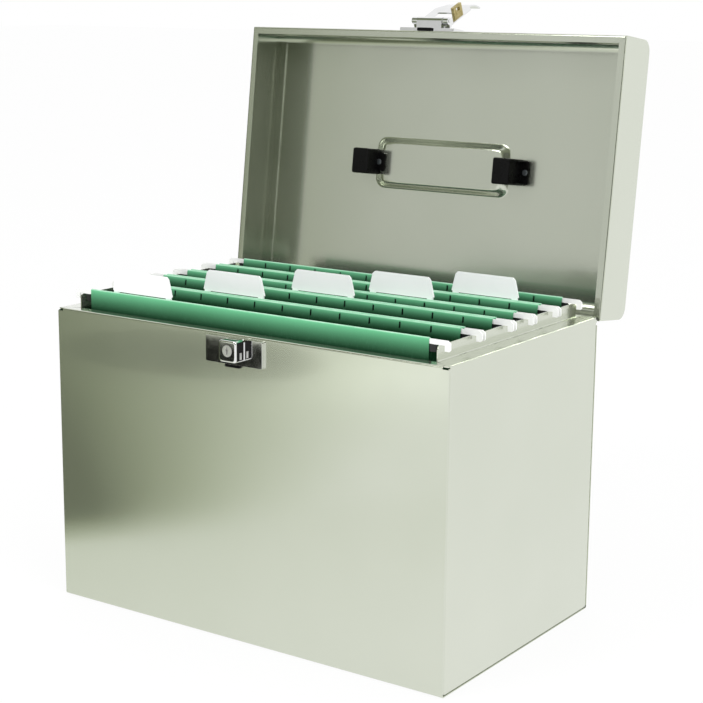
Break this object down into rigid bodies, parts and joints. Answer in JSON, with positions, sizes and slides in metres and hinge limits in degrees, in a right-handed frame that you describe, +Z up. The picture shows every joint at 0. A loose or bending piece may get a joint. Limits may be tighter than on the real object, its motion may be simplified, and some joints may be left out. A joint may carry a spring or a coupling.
{
  "type": "portable file box",
  "caption": "Portable painted steel file box, open, with hanging card files on two rails, a hinged lid with a sinking carry handle, and a hasp lock.",
  "frame": {"origin": "centre of the case's underside, on the surface that it stands on", "axes": "+X to the right, +Y to the back, where the hinge is, and +Z up; the lock faces -Y"},
  "size_m": [0.36, 0.3286, 0.4734],
  "materials": {
    "paint": "glossy pale grey-green enamel",
    "bright_steel": "plain zinc-plated steel",
    "chrome": "polished chrome plate",
    "brass": "dull olive-brown brass",
    "black_plastic": "black moulded plastic",
    "black_rubber": "black rubber",
    "green_card": "green coated card",
    "white_card": "white paper",
    "white_plastic": "white plastic",
    "clear_plastic": "clear to milky white plastic"
  },
  "bodies": {
    "case": {"case_wrap": "paint", "case_end_left": "paint", "case_end_right": "paint", "hinge_leaf_case": "bright_steel", "hinge_pin": "bright_steel", "lock_plate": "chrome", "lock_case": "chrome", "lock_rivets": "bright_steel", "lock_pad": "black_rubber"},
    "key_cylinder": {"lock_cylinder": "chrome"},
    "bolt": {"lock_bolt": "bright_steel"},
    "lid": {"lid_wrap": "paint", "lid_end_left": "paint", "lid_end_right": "paint", "hinge_leaf_lid": "bright_steel", "hasp_base": "chrome", "hasp_rivets": "bright_steel", "hasp_pin": "chrome", "hasp_pad": "black_rubber", "handle_socket_left": "black_plastic", "handle_socket_right": "black_plastic", "socket_rivets": "bright_steel"},
    "hasp": {"hasp_strap": "chrome", "hasp_staple": "brass"},
    "handle": {"carry_handle": "black_plastic", "handle_stops": "bright_steel"},
    "file_1": {"file_1_card": "green_card", "file_1_front_bar": "white_plastic", "file_1_rear_bar": "white_plastic", "file_1_tab": "clear_plastic", "file_1_label": "white_card"},
    "file_2": {"file_2_card": "green_card", "file_2_front_bar": "white_plastic", "file_2_rear_bar": "white_plastic", "file_2_tab": "clear_plastic", "file_2_label": "white_card"},
    "file_3": {"file_3_card": "green_card", "file_3_front_bar": "white_plastic", "file_3_rear_bar": "white_plastic", "file_3_tab": "clear_plastic", "file_3_label": "white_card"},
    "file_4": {"file_4_card": "green_card", "file_4_front_bar": "white_plastic", "file_4_rear_bar": "white_plastic", "file_4_tab": "clear_plastic", "file_4_label": "white_card"},
    "file_5": {"file_5_card": "green_card", "file_5_front_bar": "white_plastic", "file_5_rear_bar": "white_plastic", "file_5_tab": "clear_plastic", "file_5_label": "white_card"}
  },
  "joints": [
    {"name": "lid_hinge", "type": "hinge", "parent": "case", "child": "lid", "pos_m": [0, 0.11, 0.23335], "axis": [-1, 0, 0], "range_deg": [-97, 0]},
    {"name": "hasp_hinge", "type": "hinge", "parent": "lid", "child": "hasp", "pos_m": [0, 0.14786, 0.45841], "axis": [-1, 0, 0], "range_deg": [-151, 0]},
    {"name": "handle_slide", "type": "slide", "parent": "lid", "child": "handle", "axis": [0, 0.9925, -0.1219], "range_m": [0, 0.018]},
    {"name": "lock_turn", "type": "hinge", "parent": "case", "child": "key_cylinder", "pos_m": [0, -0.122, 0.227], "axis": [0, 1, 0], "range_deg": [-90, 0]},
    {"name": "bolt_slide", "type": "slide", "parent": "case", "child": "bolt", "axis": [1, 0, 0], "range_m": [0, 0.007]},
    {"name": "file_1_lift", "type": "slide", "parent": "case", "child": "file_1", "axis": [0, 0, 1], "range_m": [0, 0.25]},
    {"name": "file_2_lift", "type": "slide", "parent": "case", "child": "file_2", "axis": [0, 0, 1], "range_m": [0, 0.25]},
    {"name": "file_3_lift", "type": "slide", "parent": "case", "child": "file_3", "axis": [0, 0, 1], "range_m": [0, 0.25]},
    {"name": "file_4_lift", "type": "slide", "parent": "case", "child": "file_4", "axis": [0, 0, 1], "range_m": [0, 0.25]},
    {"name": "file_5_lift", "type": "slide", "parent": "case", "child": "file_5", "axis": [0, 0, 1], "range_m": [0, 0.25]}
  ],
  "couplings": [
    {"joint": "lock_turn", "follows": "bolt_slide", "rad_per_m": -224.39}
  ]
}
